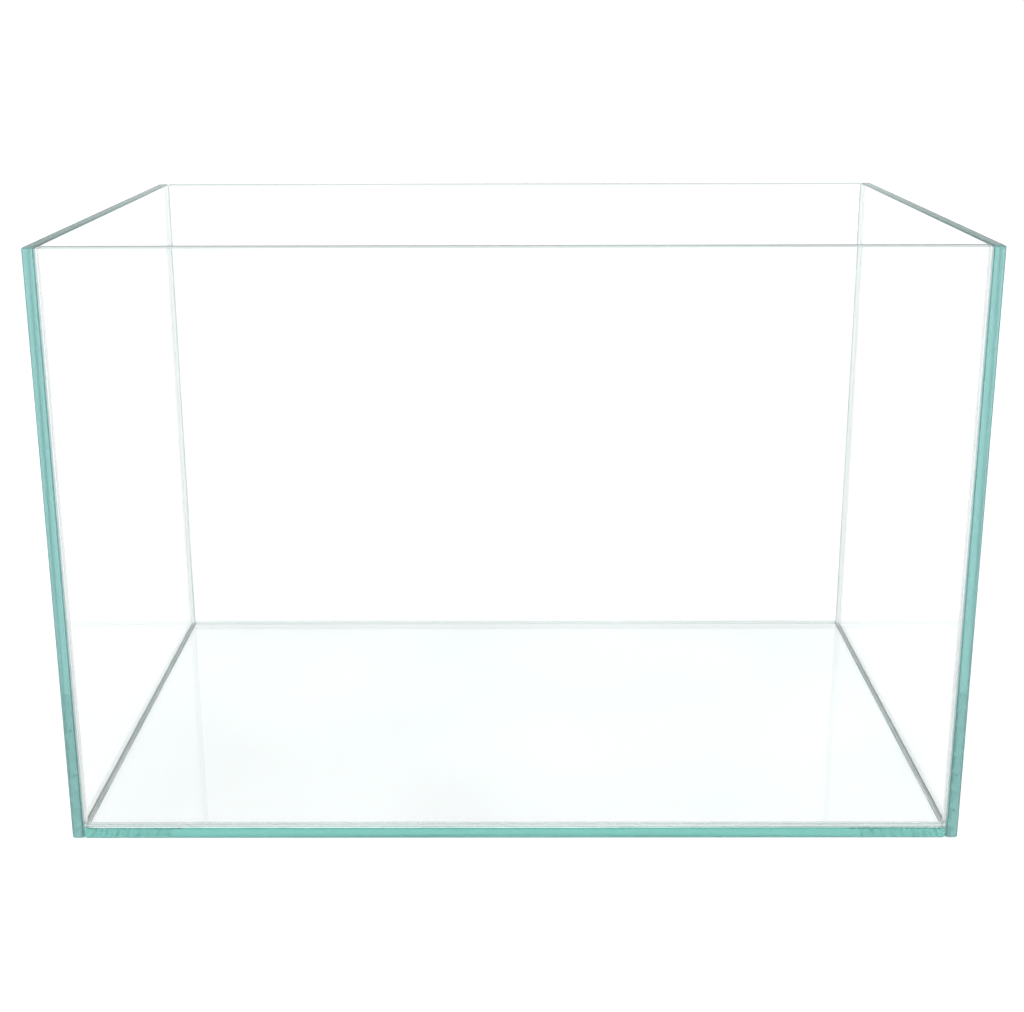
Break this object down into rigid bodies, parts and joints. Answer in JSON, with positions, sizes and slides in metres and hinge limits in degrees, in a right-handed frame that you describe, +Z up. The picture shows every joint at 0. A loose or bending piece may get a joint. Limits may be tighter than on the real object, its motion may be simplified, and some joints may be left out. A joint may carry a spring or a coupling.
{
  "type": "aquarium tank",
  "caption": "Open-topped rectangular rimless aquarium of clear glass panes bonded edge to face with clear silicone, for holding water, plants and fish.",
  "frame": {"origin": "centre of the tank's underside, on the surface that it stands on", "axes": "+X along the front to the right, +Y from the front to the back, +Z up"},
  "size_m": [0.6, 0.4, 0.4],
  "materials": {
    "glass": "clear low-iron float glass with flat-polished edges",
    "silicone": "clear cured silicone, tooled smooth"
  },
  "bodies": {
    "root": {"base_pane": "glass", "front_pane": "glass", "back_pane": "glass", "left_pane": "glass", "right_pane": "glass", "base_left_bond": "silicone", "base_right_bond": "silicone", "base_front_bond": "silicone", "base_back_bond": "silicone", "front_left_bond": "silicone", "front_right_bond": "silicone", "back_left_bond": "silicone", "back_right_bond": "silicone", "base_left_seal": "silicone", "base_right_seal": "silicone", "base_front_seal": "silicone", "base_back_seal": "silicone", "front_left_seal": "silicone", "front_right_seal": "silicone", "back_left_seal": "silicone", "back_right_seal": "silicone"}
  },
  "joints": []
}
